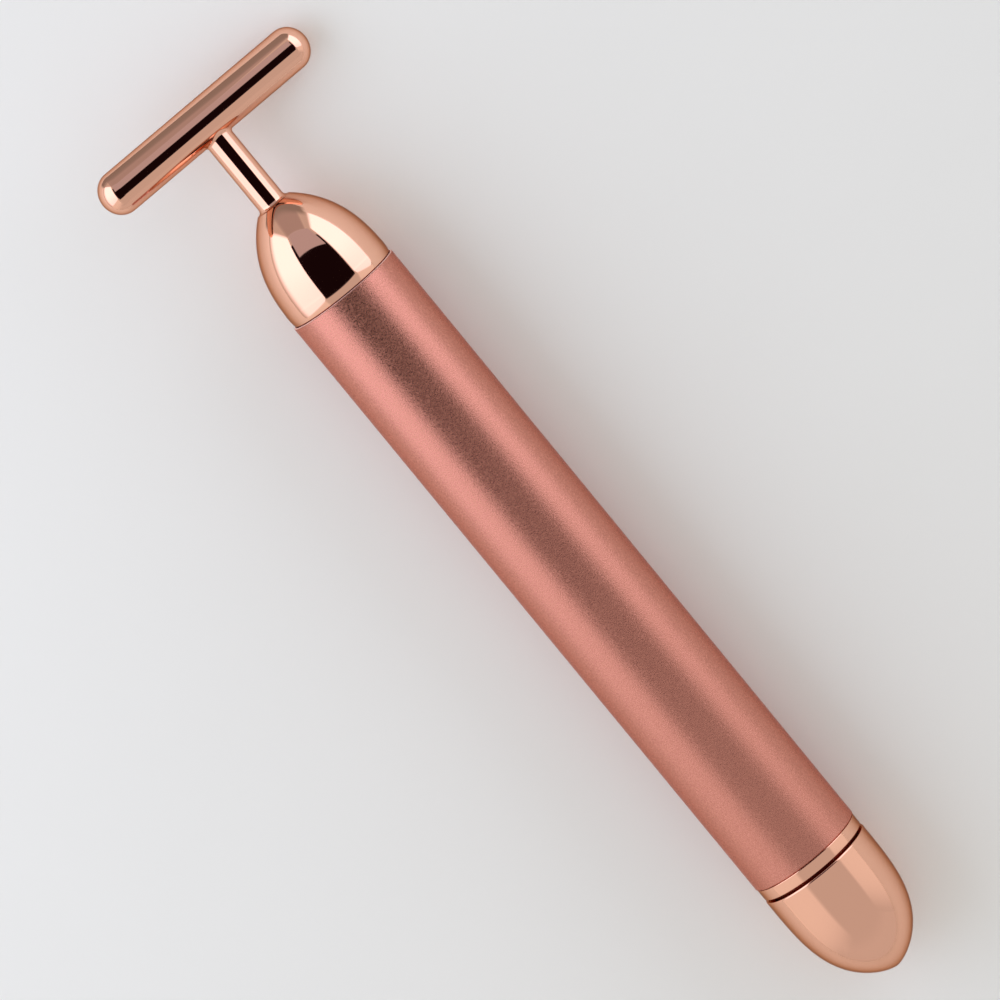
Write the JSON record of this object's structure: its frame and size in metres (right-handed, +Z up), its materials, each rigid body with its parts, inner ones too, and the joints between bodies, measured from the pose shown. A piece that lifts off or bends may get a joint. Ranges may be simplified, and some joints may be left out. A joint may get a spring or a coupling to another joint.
{
  "type": "facial sculpting massager",
  "caption": "Slim battery-powered facial massager: round metal handle, bullet-shaped polished ends and a polished T-bar head on a thin stem that vibrates.",
  "frame": {"origin": "on the table that the massager lies on, under the middle of its bounding box", "axes": "+X along the handle from the tail cap towards the T-bar, +Z up, so +Y is across the handle"},
  "size_m": [0.158, 0.0352, 0.0174],
  "materials": {
    "anodised_tube": "rose-pink satin anodised, fine bead-blasted grain",
    "rose_gold_plating": "polished rose gold plating, mirror bright",
    "brass": "turned brass",
    "steel": "nickel-plated steel",
    "white_plastic": "natural moulded nylon",
    "grey_plastic": "moulded grey ABS",
    "black_rubber": "black silicone rubber",
    "board_green": "green circuit board with a satin mask",
    "cell_label": "plain dark shrink sleeve, no print",
    "red_lead": "red lead insulation",
    "black_lead": "black lead insulation"
  },
  "bodies": {
    "handle": {"handle_tube": "anodised_tube", "battery_liner": "white_plastic", "tail_ring": "rose_gold_plating", "battery_can": "cell_label", "battery_positive_cap": "steel", "battery_negative_plate": "steel", "battery_seal": "black_rubber"},
    "head_carrier": {"head_gasket": "black_rubber"},
    "head_screw_seal": {"head_o_ring": "black_rubber"},
    "head": {"head_dome": "rose_gold_plating", "stem": "rose_gold_plating", "t_bar": "rose_gold_plating", "stem_nut": "brass", "stem_washer": "steel", "motor_housing": "grey_plastic", "ground_spring": "brass", "contact_board": "board_green", "positive_contact": "brass", "board_screw_1": "steel", "board_screw_2": "steel", "motor_can": "steel", "motor_end_cap": "white_plastic", "motor_bearing": "brass", "motor_terminal_1": "brass", "motor_terminal_2": "brass", "motor_screw_1": "steel", "motor_screw_2": "steel", "lead_black": "black_lead", "lead_red": "red_lead"},
    "rotor": {"motor_shaft": "steel", "eccentric_weight": "steel"},
    "tail_screw_seal": {"tail_o_ring": "black_rubber"},
    "tail": {"tail_cap": "rose_gold_plating", "tail_core": "brass", "spring_plate": "brass", "plate_screw": "steel", "contact_spring": "steel"}
  },
  "joints": [
    {"name": "head_pull_off", "type": "slide", "parent": "handle", "child": "head_carrier", "axis": [1, 0, 0], "range_m": [0, 0.036]},
    {"name": "head_screw_feed", "type": "slide", "parent": "head_carrier", "child": "head_screw_seal", "axis": [1, 0, 0], "range_m": [0, 0.006]},
    {"name": "head_unscrew", "type": "hinge", "parent": "head_screw_seal", "child": "head", "pos_m": [0.04535, 0, 0.00872], "axis": [1, 0, 0], "range_deg": [0, 1080]},
    {"name": "motor_spin", "type": "hinge", "parent": "head", "child": "rotor", "pos_m": [0.0485, 0, 0.00872], "axis": [1, 0, 0], "continuous": true},
    {"name": "tail_screw_feed", "type": "slide", "parent": "handle", "child": "tail_screw_seal", "axis": [1, 0, 0], "range_m": [0, 0.000375], "deforming": ["contact_spring"]},
    {"name": "tail_switch_twist", "type": "hinge", "parent": "tail_screw_seal", "child": "tail", "pos_m": [-0.06, 0, 0.00872], "axis": [1, 0, 0], "range_deg": [0, 90]}
  ],
  "couplings": [
    {"joint": "head_screw_feed", "follows": "head_unscrew", "m_per_rad": 0.00031831},
    {"joint": "tail_switch_twist", "follows": "tail_screw_feed", "rad_per_m": 4188.8}
  ]
}
